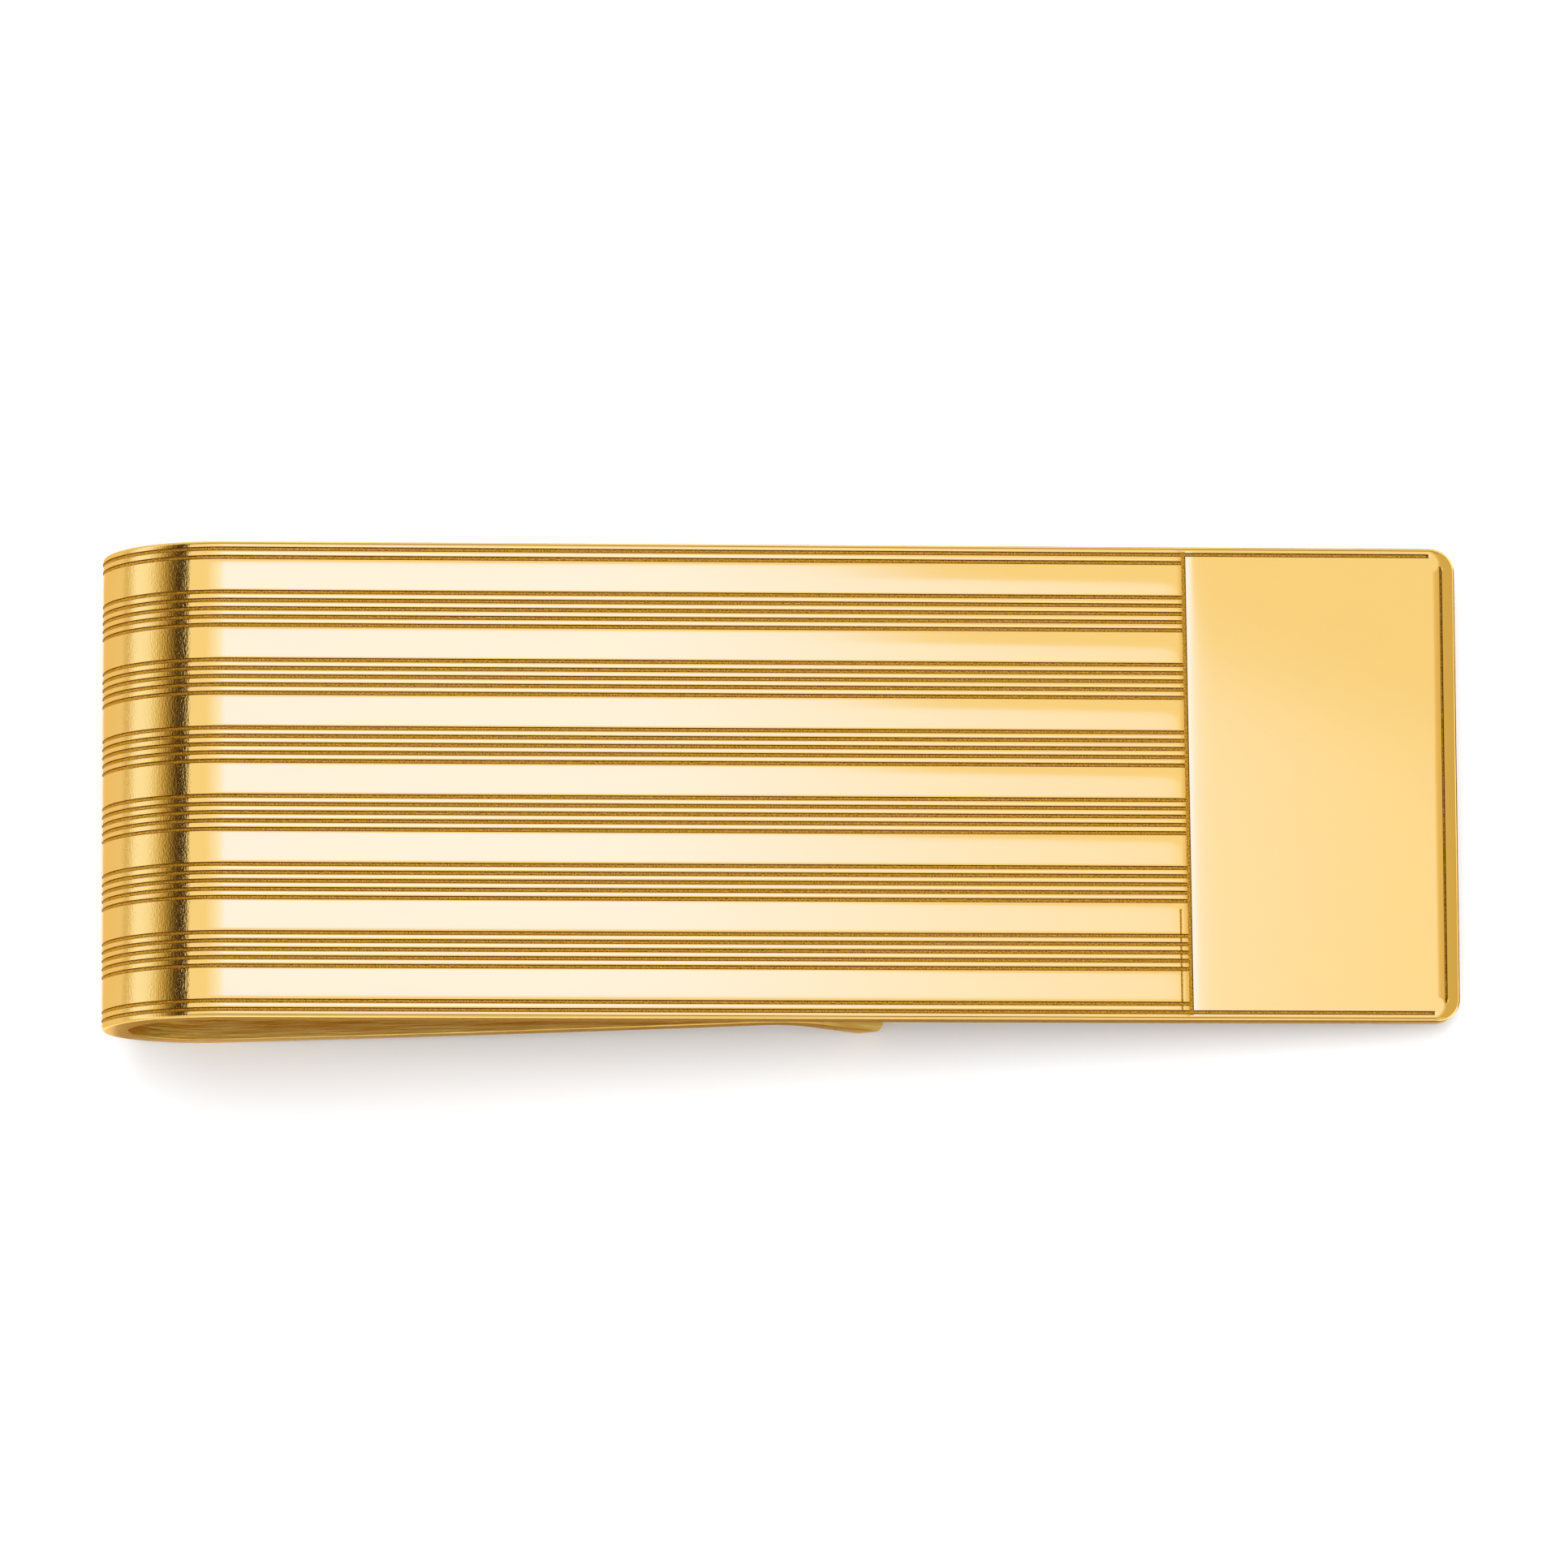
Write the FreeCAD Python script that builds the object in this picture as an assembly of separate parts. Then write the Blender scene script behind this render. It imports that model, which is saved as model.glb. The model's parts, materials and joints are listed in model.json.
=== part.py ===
"""Money clip bent from one strip of spring brass.

The strip runs from an engraving panel along a striped show plate, round a loop, and back
under the plate as a leaf, whose crest grips the banknotes and whose lip leads them in.
Each zone of the strip is a solid of its own, and meets the next zone face to face.

Millimetres. The clip lies on a table, on its loop and on its lip: +X runs from the loop to
the panel, +Y across the strip, +Z up, and the origin is on the table under the middle.
"""

import FreeCAD, Part
import math
import os

Vector = FreeCAD.Vector

# Strip
WIDTH = 18.0
THICKNESS = 1.0
EDGE_ROUND = 0.22

# Show side, measured along the plate from the crown of the loop
CLIP_LENGTH = 51.0
PANEL_LENGTH = 10.35
PANEL_CORNER_R = 0.9

# Engraved lines
GROUP_COUNT = 6
GROUP_PITCH = 2.575
LINES_PER_GROUP = 5
LINE_PITCH = 0.314
EDGE_LINES = (8.38, 8.70)
LINE_WIDTH = 0.12
LINE_FLOOR = 0.06
LINE_DEPTH = 0.055
DIVIDER_WIDTH = 0.28
END_LINE_INSET = 0.55

# Loop and leaf: radii and turns of the strip's outer face
LOOP_UPPER_R = 4.65
LOOP_LOWER_R = 3.75
LOOP_LOWER_TURN = 104.0
LEAF_R = 214.0
LEAF_ROOT_TURN = 1.7
LEAF_SHANK_TURN = 3.95
CREST_R = 1.5
CREST_TURN = 64.6
LIP_LENGTH = 3.45
LIP_CORNER_R = 0.5


def forward(heading):
    """Unit vector along the strip, for a heading in degrees from +X towards +Z."""
    angle = math.radians(heading)
    return Vector(math.cos(angle), 0, math.sin(angle))


def outward(heading):
    """Unit vector out of the strip's outer face."""
    angle = math.radians(heading)
    return Vector(math.sin(angle), 0, -math.cos(angle))


def engraved_lines():
    """Places across the strip of every engraved line, from -Y to +Y."""
    lines = [side * edge for side in (-1, 1) for edge in EDGE_LINES]
    for group in range(GROUP_COUNT):
        middle = (group - (GROUP_COUNT - 1) / 2) * GROUP_PITCH
        for line in range(LINES_PER_GROUP):
            lines.append(middle + (line - (LINES_PER_GROUP - 1) / 2) * LINE_PITCH)
    return sorted(lines)


def outer_face_points(engraved):
    """Points (across, height) along the outer face, with a notch at each line."""
    flat = WIDTH / 2 - EDGE_ROUND
    points = [(-flat, 0)]
    for y in engraved_lines() if engraved else []:
        points.append((y - LINE_WIDTH / 2, 0))
        points.append((y - LINE_FLOOR / 2, -LINE_DEPTH))
        points.append((y + LINE_FLOOR / 2, -LINE_DEPTH))
        points.append((y + LINE_WIDTH / 2, 0))
    points.append((flat, 0))
    return points


def cross_section(point, heading, engraved):
    """Face of the strip cut square to its path, with rounded edges."""
    normal = outward(heading)
    half = WIDTH / 2
    flat = half - EDGE_ROUND
    bulge = EDGE_ROUND * (1 - math.sqrt(0.5))

    def at(across, height):
        return point + Vector(0, across, 0) + normal * height

    edges = []
    outer = [at(y, h) for y, h in outer_face_points(engraved)]
    for start, end in zip(outer, outer[1:]):
        edges.append(Part.makeLine(start, end))
    for side in (1, -1):
        top = at(side * flat, 0)
        wall_top = at(side * half, -EDGE_ROUND)
        wall_bottom = at(side * half, EDGE_ROUND - THICKNESS)
        bottom = at(side * flat, -THICKNESS)
        top_middle = at(side * (half - bulge), -bulge)
        bottom_middle = at(side * (half - bulge), bulge - THICKNESS)
        edges.append(Part.Arc(top, top_middle, wall_top).toShape())
        edges.append(Part.makeLine(wall_top, wall_bottom))
        edges.append(Part.Arc(wall_bottom, bottom_middle, bottom).toShape())
    edges.append(Part.makeLine(at(-flat, -THICKNESS), at(flat, -THICKNESS)))
    return Part.Face(Part.Wire(Part.__sortEdges__(edges)))


def straight_zone(point, heading, length, engraved):
    """Straight stretch of strip, and where its outer face ends."""
    run = forward(heading) * length
    return cross_section(point, heading, engraved).extrude(run), point + run


def bent_zone(point, heading, radius, turn, engraved):
    """Stretch bent to a radius of the outer face; a negative turn bends it backwards."""
    side = 1 if turn > 0 else -1
    centre = point - outward(heading) * radius * side
    face = cross_section(point, heading, engraved)
    solid = face.revolve(centre, Vector(0, -side, 0), abs(turn))
    return solid, centre + outward(heading + turn) * radius * side


def end_zone(length, corner_radius):
    """End of the strip from x = 0, outer face on z = 0, corners and edges rounded."""
    slab = Part.makeBox(length, WIDTH, THICKNESS, Vector(0, -WIDTH / 2, -THICKNESS))
    uprights = [e for e in slab.Edges if all(v.X > length / 2 for v in e.Vertexes)]
    uprights = [e for e in uprights if abs(e.Vertexes[0].Z - e.Vertexes[1].Z) > THICKNESS / 2]
    slab = slab.makeFillet(corner_radius, uprights)
    rim = []
    for edge in slab.Edges:
        level = abs(edge.BoundBox.ZMax - edge.BoundBox.ZMin) < THICKNESS / 2
        if level and edge.BoundBox.XMax > THICKNESS / 2:
            rim.append(edge)
    return slab.makeFillet(EDGE_ROUND, rim)


def groove_box(x_start, x_end, y_start, y_end):
    """Cutter for a groove in the outer face of an end zone."""
    corner = Vector(x_start, y_start, -LINE_DEPTH)
    return Part.makeBox(x_end - x_start, y_end - y_start, THICKNESS, corner)


def engraving_panel():
    """Plain panel with a divider groove at its start and a border line round its rim."""
    panel = end_zone(PANEL_LENGTH, PANEL_CORNER_R)
    border = EDGE_LINES[1]
    line_half = LINE_WIDTH / 2
    line_end = PANEL_LENGTH - END_LINE_INSET
    corner_gap = PANEL_CORNER_R / 3
    cutters = [groove_box(-1, DIVIDER_WIDTH, line_half - border, border - line_half)]
    for side in (-1, 1):
        y = side * border
        cutters.append(groove_box(-1, line_end - corner_gap, y - line_half, y + line_half))
    reach = border - 2 * corner_gap
    cutters.append(groove_box(line_end - line_half, line_end + line_half, -reach, reach))
    return panel.cut(cutters)


def build_strip():
    """Every zone in the plate's own frame, and the two centres that it rests round.

    In that frame the crown is at x = 0 and the show face on z = 0. The clip rests on the
    lower bend of the loop and on the rounded tip of the lip.
    """
    split = CLIP_LENGTH - PANEL_LENGTH
    panel = engraving_panel()
    panel.translate(Vector(split, 0, 0))
    zones = {"engraving_panel": panel}
    point = Vector(split, 0, 0)
    heading = 180.0
    zones["striped_plate"], point = straight_zone(point, heading, split - LOOP_UPPER_R, True)
    bends = [
        ("loop_upper", LOOP_UPPER_R, 90.0, True),
        ("loop_lower", LOOP_LOWER_R, LOOP_LOWER_TURN, True),
        ("leaf_root", LEAF_R, LEAF_ROOT_TURN, False),
        ("leaf_shank", LEAF_R, LEAF_SHANK_TURN, False),
        ("grip_crest", CREST_R, -CREST_TURN, False),
    ]
    ends = {}
    for node, radius, turn, engraved in bends:
        zones[node], point = bent_zone(point, heading, radius, turn, engraved)
        heading += turn
        ends[node] = point
    lip = end_zone(LIP_LENGTH, LIP_CORNER_R)
    turned = FreeCAD.Rotation(forward(heading), Vector(), outward(heading), "XZY")
    lip.Placement = FreeCAD.Placement(point, turned)
    zones["lead_in_lip"] = lip
    to_round = forward(heading) * (LIP_LENGTH - EDGE_ROUND) - outward(heading) * EDGE_ROUND
    loop_centre = ends["loop_upper"] + Vector(LOOP_LOWER_R, 0, 0)
    return zones, loop_centre, point + to_round


def resting_placement(zones, loop_centre, lip_centre):
    """Lean that lays the loop and the tip of the lip on the table, origin under the middle."""
    reach = lip_centre - loop_centre
    drop = math.asin((LOOP_LOWER_R - EDGE_ROUND) / reach.Length) + math.atan2(reach.z, reach.x)
    lean = FreeCAD.Placement(Vector(), FreeCAD.Rotation(Vector(0, 1, 0), math.degrees(drop)))
    leaned = Part.Compound([zone.transformed(lean.Matrix) for zone in zones.values()])
    box = leaned.optimalBoundingBox(False)
    middle = Vector((box.XMin + box.XMax) / 2, (box.YMin + box.YMax) / 2, box.ZMin)
    return FreeCAD.Placement(-middle, lean.Rotation)


ZONES, LOOP_CENTRE, LIP_CENTRE = build_strip()
REST = resting_placement(ZONES, LOOP_CENTRE, LIP_CENTRE)
os.makedirs("parts", exist_ok=True)
for name, zone in ZONES.items():
    zone.transformed(REST.Matrix).exportStep(f"parts/{name}.step")
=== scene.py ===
"""Looks of the gold-plated money clip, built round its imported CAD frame."""
import json
import math

import bmesh
import bpy
from mathutils import Matrix, Vector


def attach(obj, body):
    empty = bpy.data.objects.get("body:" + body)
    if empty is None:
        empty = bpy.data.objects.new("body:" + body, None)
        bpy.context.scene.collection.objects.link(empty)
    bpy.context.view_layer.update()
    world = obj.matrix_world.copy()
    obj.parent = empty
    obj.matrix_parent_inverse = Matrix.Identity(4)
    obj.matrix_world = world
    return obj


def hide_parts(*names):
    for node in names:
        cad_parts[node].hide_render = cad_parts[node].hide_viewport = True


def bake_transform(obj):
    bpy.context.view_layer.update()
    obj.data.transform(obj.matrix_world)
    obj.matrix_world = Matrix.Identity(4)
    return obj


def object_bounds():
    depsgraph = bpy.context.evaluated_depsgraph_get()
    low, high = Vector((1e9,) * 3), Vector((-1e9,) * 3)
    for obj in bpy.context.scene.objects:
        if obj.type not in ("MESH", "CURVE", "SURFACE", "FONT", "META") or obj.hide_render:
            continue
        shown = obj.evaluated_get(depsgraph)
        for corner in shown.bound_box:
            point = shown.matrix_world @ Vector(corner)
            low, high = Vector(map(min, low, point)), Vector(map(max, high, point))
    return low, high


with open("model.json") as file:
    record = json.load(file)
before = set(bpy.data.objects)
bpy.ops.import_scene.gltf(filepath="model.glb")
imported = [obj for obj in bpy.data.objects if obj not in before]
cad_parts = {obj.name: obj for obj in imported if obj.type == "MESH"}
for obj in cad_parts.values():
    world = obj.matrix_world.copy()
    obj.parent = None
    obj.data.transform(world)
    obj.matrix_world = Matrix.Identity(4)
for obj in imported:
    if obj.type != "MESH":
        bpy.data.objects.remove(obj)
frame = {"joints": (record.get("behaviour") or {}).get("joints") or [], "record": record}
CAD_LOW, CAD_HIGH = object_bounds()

MM = 0.001

# The strip, in millimetres and degrees, as the CAD has it
WIDTH = 18.0
THICKNESS = 1.0
CLIP_LENGTH = 51.0
PANEL_LENGTH = 10.35
PANEL_CORNER_R = 0.9
LOOP_UPPER_R = 4.65
LOOP_UPPER_TURN = 90.0
LOOP_LOWER_R = 3.75
LOOP_LOWER_TURN = 104.0
LEAF_R = 214.0
LEAF_ROOT_TURN = 1.7
LEAF_SHANK_TURN = 3.95
CREST_R = 1.5
CREST_TURN = -64.6
LIP_LENGTH = 3.45
LIP_CORNER_R = 0.5

# Rounded edges, in millimetres, and the insets of their rings of points
SHOW_ROUND = 0.14
UNDER_ROUND = 0.05
END_DROP = 0.3
TOP_INSETS = (0.0, 0.005, 0.02, 0.045, 0.08, 0.11, SHOW_ROUND, 0.2)
UNDER_INSETS = (0.0, 0.004, 0.015, 0.03, UNDER_ROUND)

# Engraved lines, which fade out at a turn of the lower bend
GROUP_COUNT = 6
GROUP_PITCH = 2.575
LINES_PER_GROUP = 5
LINE_PITCH = 0.314
EDGE_LINES = (8.38, 8.70)
LINE_WIDTH = 0.15
LINE_FLOOR = 0.085
LINE_WALL = (LINE_WIDTH - LINE_FLOOR) / 2
LINE_DEPTH = 0.055
LINE_FADE_START = 84.0
LINE_FADE_TURN = 18.0

# Divider, which slants a little
DIVIDER_WIDTH = 0.16
DIVIDER_WALL = 0.03
DIVIDER_SHIFT = 0.085
DIVIDER_SLANT = 0.15
SLANT_REACH = 3.0

# Thin slip line beside the divider; its floor and edge are shares of its width
SLIP_PLACE = 0.27
SLIP_WIDTH = 0.075
SLIP_DEPTH = 0.03
SLIP_FLOOR = 0.2
SLIP_EDGE = 0.5
SLIP_END = -4.5
SLIP_FADE = 0.6
SLIP_START_FADE = 0.1

# Border line of the panel, and the distances from the rim over which its parts fade in
END_LINE_INSET = 0.55
END_LINE_WIDTH = 0.1
SIDE_LINE_FADE = (0.95, 1.15)
END_LINE_FADE = (0.65, 0.85)

# Shares of full depth past which the panel's metal is a cut's floor or wall, and the depth
# under the show face past which its rounded end is plain
FLOOR_SHARE = 0.9
WALL_SHARE = 0.05
PLAIN_DEPTH = 0.2

# How polishing has rounded the metal beside each cut
ROLL_DEPTH = 0.0036
ROLL_REACH = 0.022
LAND_CROWN = 0.007
LAND_OFFSETS = (0, 0.012, 0.03, 0.06, 0.13, 0.22, 0.36)
DIVIDER_ROLL_DEPTH = 0.016
DIVIDER_ROLL_REACH = 0.22

# Orange peel of each bend: least and added amounts, and the turns over which they change
UPPER_PEEL = (0.05, 0.95)
UPPER_PEEL_RISE = (15, 23)
UPPER_PEEL_FALL = (52, 66)
LOWER_PEEL = (0.06, 0.4)
LOWER_PEEL_RISE = (20, 50)

# Where pieces meet and bend, as shares of a stretch
LOOP_BORDER = 0.58
LEAF_BORDER = 0.5

# Mesh: steps along the strip and across it where it is plain, and how it is welded
EDGE_STEPS = 5
CORNER_STEPS = 14
PLATE_STEPS = 34
UPPER_STEPS = 60
LOWER_STEPS = (42, 30)
ROOT_STEPS = 8
SHANK_STEPS = 30
CREST_STEPS = 30
OUTER_STEPS = 12
INNER_STEPS = 16
FINE_REACH = 1.1
CREASE_ANGLE = 24.0
WELD_METRES = 2e-7
TINY = 1e-6

# Camera, in the plate's own frame: crown of the loop at x = 0, show face on z = 0
CAMERA_PLACE = (-5.34, -58.54, 409.28)
CAMERA_TURNS = (8.124, -4.265, -0.316)
CAMERA_LENS = 253.5
CAMERA_CLIP = (0.01, 10)

# Studio cards: sizes in millimetres, glows as linear colours
WORLD_LEVEL = 1.04
PLAIN = (WORLD_LEVEL, WORLD_LEVEL, WORLD_LEVEL)
CREAM = (1.1, 1.47, 3.7)
# The dark cards' glow is painted shade: it stands in for the clip's shadow on the paper beside it,
# as the gold's edges mirror it
FLOOR_SHADE_GLOW = (0.3, 0.2, 0.07)
CARD_DISTANCE = 400
CARD_LENGTH = 900
TABLE_CARD_GAP = 0.4
TABLE_CARD_DEPTH = 6.0
TABLE_CARD_LIFT = 0.05
OVERHEAD_HEIGHT = 500
OVERHEAD_SIZE = (160, 52)

# Paper and its lamp, in metres and watts
PAPER_COLOUR = (0.885, 0.9, 0.925, 1)
PAPER_REACH = 1.2
PAPER_DROP = 0.00002
LAMP_SIZE = 0.7
LAMP_ENERGY = 5.5
LAMP_PLACE = (0.05, 0.25, 0.8)

# Cards beside the clip: name, direction, and glows at degrees from the plate's normal
SIDE_CARDS = (
    ("left_card", (-1, 0, 0), (
        (37.5, (0.03, 0.02, 0.01)),
        (48, (0.04, 0.025, 0.01)),
        (60, (0.44, 0.34, 0.15)),
        (68, (0.8, 0.7, 0.4)),
        (78, (1.07, 1.17, 1.45)),
        (97, (1.1, 1.25, 1.8)),
    )),
    ("right_card", (1, 0, 0), (
        (14, (1.0, 0.97, 0.9)),
        (18, (0.88, 0.76, 0.5)),
        (28, (0.72, 0.63, 0.36)),
        (62, (0.71, 0.62, 0.35)),
        (80, (0.67, 0.54, 0.16)),
    )),
    ("front_card", (0, -1, 0), (
        (13, (0.5, 0.4, 0.3)),
        (16, (0.03, 0.02, 0.01)),
        (28, (0.05, 0.04, 0.03)),
        (36, (0.95, 0.9, 0.8)),
        (62, (1.0, 1.0, 1.0)),
        (74, (0.45, 0.42, 0.36)),
        (88, (1.35, 1.35, 1.4)),
    )),
    ("back_card", (0, 1, 0), (
        (26, (0.9, 0.85, 0.7)),
        (34, (0.5, 0.42, 0.26)),
        (52, (0.42, 0.34, 0.2)),
        (66, (1.0, 1.0, 1.0)),
        (76, (0.5, 0.46, 0.4)),
        (88, (1.3, 1.3, 1.35)),
    )),
)

# Card on the paper beyond the loop, a painted reflection of the paper with painted shade out to 105
# mm: glows at millimetres from the clip
LOOP_TABLE = (
    (2, (0.93, 0.88, 0.82)),
    (24, (0.93, 0.88, 0.82)),
    (34, (0.72, 0.64, 0.42)),
    (105, (0.72, 0.64, 0.42)),
    (150, (1.05, 1.1, 1.3)),
    (280, (1.05, 1.08, 1.15)),
)

# Overhead card: glows at millimetres from the crown, as the plate mirrors them
OVERHEAD_GLOWS = (
    (-80, PLAIN),
    (-30, (1.1, 1.3, 2.2)),
    (-6, CREAM),
    (20, CREAM),
    (32, (1.1, 1.32, 2.6)),
    (48, (1.1, 1.17, 1.5)),
    (62, PLAIN),
    (80, PLAIN),
)

# Where the overhead card is plain white: past a slanted corner, and along its margins
PLAIN_CORNER_SLOPE = 0.3
PLAIN_CORNER_ACROSS = (15.6, 17.8)
PLAIN_CORNER_ALONG = (27, 32)
PLAIN_MARGIN = (17, 25)

# Slots of the golds; the third is the darker gold of cut walls, painted shade
POLISHED, CUT, SHADED_WALL, BRUSHED, MILLED = range(5)


# ---------------------------------------------------------------- the strip's path

def plate_frame():
    """Matrix from the plate's own frame in millimetres to the row frame in metres."""
    mount = next(m for m in frame["record"]["mounts"] if m["name"] == "panel_face")
    crown = next(j for j in frame["joints"] if j["name"] == "crown_flex")["pos_m"]
    lean = math.atan2(mount["axis"][0], mount["axis"][2])
    to_crown = Matrix.Translation(Vector((0, 0, LOOP_UPPER_R)))
    turn = Matrix.Rotation(lean, 4, "Y")
    return Matrix.Translation(Vector(crown)) @ turn @ Matrix.Scale(MM, 4) @ to_crown


def forward(heading):
    """Unit vector along the strip."""
    return Vector((math.cos(heading), 0, math.sin(heading)))


def outward(heading):
    """Unit vector out of the strip's outer face."""
    return Vector((math.sin(heading), 0, -math.cos(heading)))


def bend(point, heading, radius, turn, share=1):
    """Point and heading at a share of a bend; a negative turn bends the strip backwards."""
    side = 1 if turn > 0 else -1
    centre = point - outward(heading) * radius * side
    there = heading + turn * share
    return centre + outward(there) * radius * side, there


def strip_path():
    """Stretches of the outer face from the divider on: start, heading, radius and turn.

    A straight stretch has no radius, and its length in place of a turn.
    """
    divider = Vector((CLIP_LENGTH - PANEL_LENGTH, 0, 0))
    heading = math.pi
    path = {"plate": (divider, heading, None, divider.x - LOOP_UPPER_R)}
    point = Vector((LOOP_UPPER_R, 0, 0))
    bends = (
        ("upper", LOOP_UPPER_R, LOOP_UPPER_TURN),
        ("lower", LOOP_LOWER_R, LOOP_LOWER_TURN),
        ("root", LEAF_R, LEAF_ROOT_TURN),
        ("shank", LEAF_R, LEAF_SHANK_TURN),
        ("crest", CREST_R, CREST_TURN),
    )
    for name, radius, degrees in bends:
        turn = math.radians(degrees)
        path[name] = (point, heading, radius, turn)
        point, heading = bend(point, heading, radius, turn)
    path["lip"] = (point, heading, None, LIP_LENGTH)
    return path


TO_ROW = plate_frame()
TURN_TO_ROW = TO_ROW.to_3x3().normalized()
PATH = strip_path()


def along(stretch, share):
    """Point and heading at a share of a stretch."""
    point, heading, radius, amount = PATH[stretch]
    if radius is None:
        return point + forward(heading) * amount * share, heading
    return bend(point, heading, radius, amount, share)


def strip_run(stretch, share):
    """Distance along the strip from the divider, in millimetres."""
    total = 0.0
    for name, (_, _, radius, amount) in PATH.items():
        length = amount if radius is None else abs(amount) * radius
        if name == stretch:
            return total + length * share
        total += length
    return total


def smooth(low, high, value):
    """Smooth step from 0 to 1 between two values."""
    t = min(1.0, max(0.0, (value - low) / (high - low)))
    return t * t * (3 - 2 * t)


def spread(first, last, steps):
    """Evenly spaced values from first to last."""
    return [first + (last - first) * i / steps for i in range(steps + 1)]


def line_depth(stretch, share):
    """Share of full depth that the cut lines have here: they fade out under the loop."""
    if stretch in ("plate", "upper"):
        return 1.0
    if stretch == "lower":
        turned = share * LOOP_LOWER_TURN
        return 1.0 - smooth(LINE_FADE_START, LINE_FADE_START + LINE_FADE_TURN, turned)
    return 0.0


def orange_peel(stretch, share):
    """How much bending has roughened the outer face, from 0 to 1."""
    if stretch == "upper":
        turned = share * LOOP_UPPER_TURN
        least, added = UPPER_PEEL
        kept = 1 - smooth(*UPPER_PEEL_FALL, turned)
        return least + added * smooth(*UPPER_PEEL_RISE, turned) * kept
    if stretch == "lower":
        least, added = LOWER_PEEL
        return least + added * smooth(*LOWER_PEEL_RISE, share * LOOP_LOWER_TURN)
    return 0.0


def station(stretch, share):
    """Place of one ring on the strip, and how its outer face is worked there."""
    point, heading = along(stretch, share)
    return {
        "point": point,
        "heading": heading,
        "run": strip_run(stretch, share),
        "depth": line_depth(stretch, share),
        "peel": orange_peel(stretch, share),
        "roll": 0.0,
        "roll_slope": 0.0,
        "slant": 0.0,
        "slip": 0.0,
    }


def stations(stretch, first, last, steps):
    """Evenly spaced stations between two shares of a stretch."""
    return [station(stretch, share) for share in spread(first, last, steps)]


# ---------------------------------------------------------------- the strip's section

def line_places():
    """Places across the strip of every cut line, from -Y to +Y."""
    lines = [side * edge for side in (-1, 1) for edge in EDGE_LINES]
    for group in range(GROUP_COUNT):
        middle = (group - (GROUP_COUNT - 1) / 2) * GROUP_PITCH
        for line in range(LINES_PER_GROUP):
            lines.append(middle + (line - (LINES_PER_GROUP - 1) / 2) * LINE_PITCH)
    return sorted(lines)


def land_points(low, high):
    """Places, heights and slopes across the polished metal between two cuts."""
    width = high - low
    near = [d for d in LAND_OFFSETS if d < width / 2]
    places = [low + d for d in near] + [(low + high) / 2] + [high - d for d in reversed(near)]
    crown = LAND_CROWN * width
    points = []
    for y in places:
        left = ROLL_DEPTH * math.exp(-(y - low) / ROLL_REACH)
        right = ROLL_DEPTH * math.exp(-(high - y) / ROLL_REACH)
        t = (2 * y - low - high) / width
        height = -left - right - crown * t * t
        slope = (left - right) / ROLL_REACH - 4 * crown * t / width
        points.append((y, height, slope))
    return points


def chain(points, material):
    """Segments of one material from each point to the next."""
    return [(a, b, material) for a, b in zip(points, points[1:])]


def cut_segments(line):
    """-Y wall, floor and +Y wall of a cut line; the two walls are alike in shape, and the +Y wall
    takes the darker gold as painted shade.
    """
    low, high = line - LINE_WIDTH / 2, line + LINE_WIDTH / 2
    floor_low, floor_high = line - LINE_FLOOR / 2, line + LINE_FLOOR / 2
    wall = (ROLL_DEPTH - LINE_DEPTH) / (floor_low - low)
    return [
        ((low, -ROLL_DEPTH, wall), (floor_low, -LINE_DEPTH, wall), CUT),
        ((floor_low, -LINE_DEPTH, 0), (floor_high, -LINE_DEPTH, 0), CUT),
        # The +Y wall, alike in shape to the -Y wall, takes the darker gold as painted shade
        ((floor_high, -LINE_DEPTH, -wall), (high, -ROLL_DEPTH, -wall), SHADED_WALL),
    ]


def relief_segments(engraved):
    """Segments across the outer face, from -Y to +Y: two ends and a material.

    An end is a place across the strip, a height and a slope.
    """
    flat = WIDTH / 2 - SHOW_ROUND
    if not engraved:
        return chain([(y, 0, 0) for y in spread(-flat, flat, OUTER_STEPS)], BRUSHED)
    lines = line_places()
    lows = [-flat] + [line + LINE_WIDTH / 2 for line in lines]
    highs = [line - LINE_WIDTH / 2 for line in lines] + [flat]
    lands = [land_points(low, high) for low, high in zip(lows, highs)]
    lands[0][0] = (-flat, 0, 0)
    lands[-1][-1] = (flat, 0, 0)
    segments = chain(lands[0], POLISHED)
    for line, land in zip(lines, lands[1:]):
        segments += cut_segments(line) + chain(land, POLISHED)
    return segments


def edge_segments(side):
    """Long edge, from the outer face's round to the inner face's: two ends and a material.

    An end is a place across the strip, a height, and the normal's parts across and outward.
    """
    half = WIDTH / 2
    turns = spread(0, math.pi / 2, EDGE_STEPS)
    outline = []
    for a in turns:
        y, h = math.sin(a), math.cos(a)
        outline.append((half - SHOW_ROUND * (1 - y), -SHOW_ROUND * (1 - h), y, h))
    for a in turns:
        y, h = math.cos(a), -math.sin(a)
        outline.append((half - UNDER_ROUND * (1 - y), UNDER_ROUND * (1 + h) - THICKNESS, y, h))
    materials = [POLISHED] * EDGE_STEPS + [MILLED] + [BRUSHED] * EDGE_STEPS
    segments = list(zip(outline, outline[1:], materials))
    if side > 0:
        return segments
    return [(mirrored(b), mirrored(a), material) for a, b, material in reversed(segments)]


def mirrored(end):
    """The end of an edge segment on the strip's other side."""
    y, height, across, out = end
    return -y, height, -across, out


def inner_segments():
    """The plain inner face, from +Y to -Y."""
    flat = WIDTH / 2 - UNDER_ROUND
    return chain([(y, -THICKNESS, 0, -1) for y in spread(flat, -flat, INNER_STEPS)], BRUSHED)


def slant(y):
    """Shift of the divider along the plate: it leans to the loop towards +Y."""
    return DIVIDER_SHIFT - DIVIDER_SLANT * (y / WIDTH + 0.5)


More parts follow.
